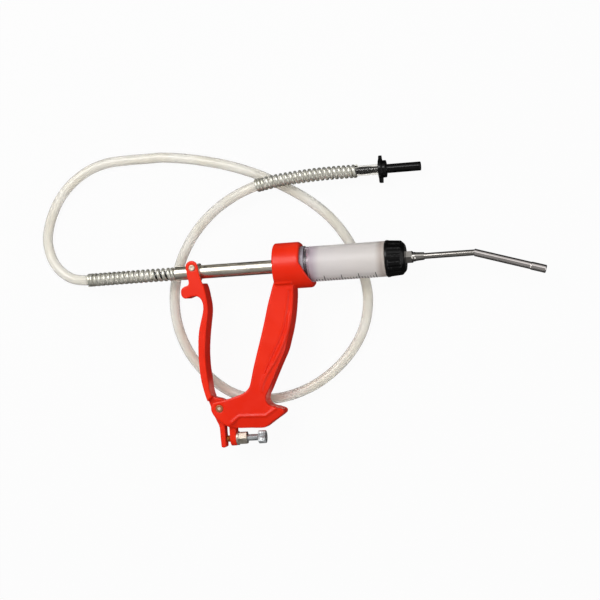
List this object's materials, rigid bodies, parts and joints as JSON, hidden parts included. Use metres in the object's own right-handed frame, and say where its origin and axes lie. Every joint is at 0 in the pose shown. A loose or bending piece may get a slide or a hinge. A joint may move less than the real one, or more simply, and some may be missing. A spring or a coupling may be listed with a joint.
{
  "type": "livestock drencher",
  "caption": "Hand-squeezed livestock drench gun with a red pistol handle and lever, frosted dosing barrel, bent metal nozzle, dose screw and a spring-guarded clear supply hose.",
  "frame": {"origin": "middle of the gun's own box, without the hose and what is on it, so on the gun's middle plane", "axes": "+X along the barrel to the spout, +Y up the handle from its foot to the barrel, +Z out of the gun's left side; the gun lies on its side with its hose under it"},
  "size_m": [0.4369, 0.2565, 0.0428],
  "materials": {
    "red_enamel": "glossy red enamel on a casting",
    "bright_chrome": "bright chrome plate",
    "plated_steel": "zinc plated",
    "spring_wire": "bright drawn wire",
    "frosted_barrel": "frosted, translucent",
    "clear_hose": "cloudy clear vinyl",
    "black_plastic": "moulded black",
    "white_plastic": "moulded white",
    "brass": "turned",
    "seal_rubber": "moulded rubber"
  },
  "bodies": {
    "gun": {"handle": "red_enamel", "rod_bush": "brass", "barrel": "frosted_barrel", "barrel_ring": "plated_steel", "barrel_gasket": "seal_rubber", "cap_seal": "seal_rubber", "lever_pivot_pin": "plated_steel", "return_spring": "spring_wire", "dose_washer": "plated_steel", "hose_bend": "clear_hose", "hose_loop": "clear_hose", "front_spring_guard": "spring_wire", "hose_connector": "black_plastic"},
    "squeeze_lever": {"lever": "red_enamel", "lever_push_pin": "plated_steel"},
    "plunger": {"plunger_rod": "bright_chrome", "push_collars": "plated_steel", "piston": "white_plastic", "piston_seal": "seal_rubber", "piston_nut": "brass", "inlet_valve_spring": "spring_wire", "hose_nipple": "black_plastic", "rear_spring_guard": "spring_wire", "hose_tail": "clear_hose"},
    "inlet_poppet": {"inlet_valve": "white_plastic"},
    "cap_and_nozzle": {"front_cap": "black_plastic", "nozzle_base": "bright_chrome", "nozzle_tube": "bright_chrome", "nozzle_spout": "bright_chrome", "nozzle_tip": "bright_chrome", "outlet_valve_spring": "spring_wire"},
    "outlet_poppet": {"outlet_valve": "white_plastic"},
    "dose_stop": {"dose_screw": "plated_steel"},
    "lock_nut": {"dose_lock_nut": "plated_steel"}
  },
  "joints": [
    {"name": "lever_squeeze", "type": "hinge", "parent": "gun", "child": "squeeze_lever", "pos_m": [-0.11445, -0.05105, 0], "axis": [0, 0, -1], "range_deg": [0, 27.1]},
    {"name": "plunger_stroke", "type": "slide", "parent": "gun", "child": "plunger", "axis": [1, 0, 0], "range_m": [0, 0.0566], "stiffness_N_per_m": 150, "springref_m": -0.03, "deforming": ["return_spring"]},
    {"name": "inlet_valve_lift", "type": "slide", "parent": "plunger", "child": "inlet_poppet", "axis": [1, 0, 0], "range_m": [0, 0.0015], "stiffness_N_per_m": 100, "springref_m": -0.003, "deforming": ["inlet_valve_spring"]},
    {"name": "cap_turn", "type": "hinge", "parent": "gun", "child": "cap_and_nozzle", "pos_m": [0.04105, 0.06535, 0], "axis": [1, 0, 0], "continuous": true},
    {"name": "outlet_valve_lift", "type": "slide", "parent": "cap_and_nozzle", "child": "outlet_poppet", "axis": [1, 0, 0], "range_m": [0, 0.0015], "stiffness_N_per_m": 150, "springref_m": -0.004, "deforming": ["outlet_valve_spring"]},
    {"name": "dose_screw_feed", "type": "slide", "parent": "gun", "child": "dose_stop", "axis": [1, 0, 0], "range_m": [0, 0.006]},
    {"name": "lock_nut_turn", "type": "hinge", "parent": "gun", "child": "lock_nut", "pos_m": [-0.09785, -0.07765, 0], "axis": [1, 0, 0], "continuous": true}
  ],
  "couplings": [
    {"joint": "plunger_stroke", "follows": "lever_squeeze", "m_per_rad": 0.11946}
  ]
}
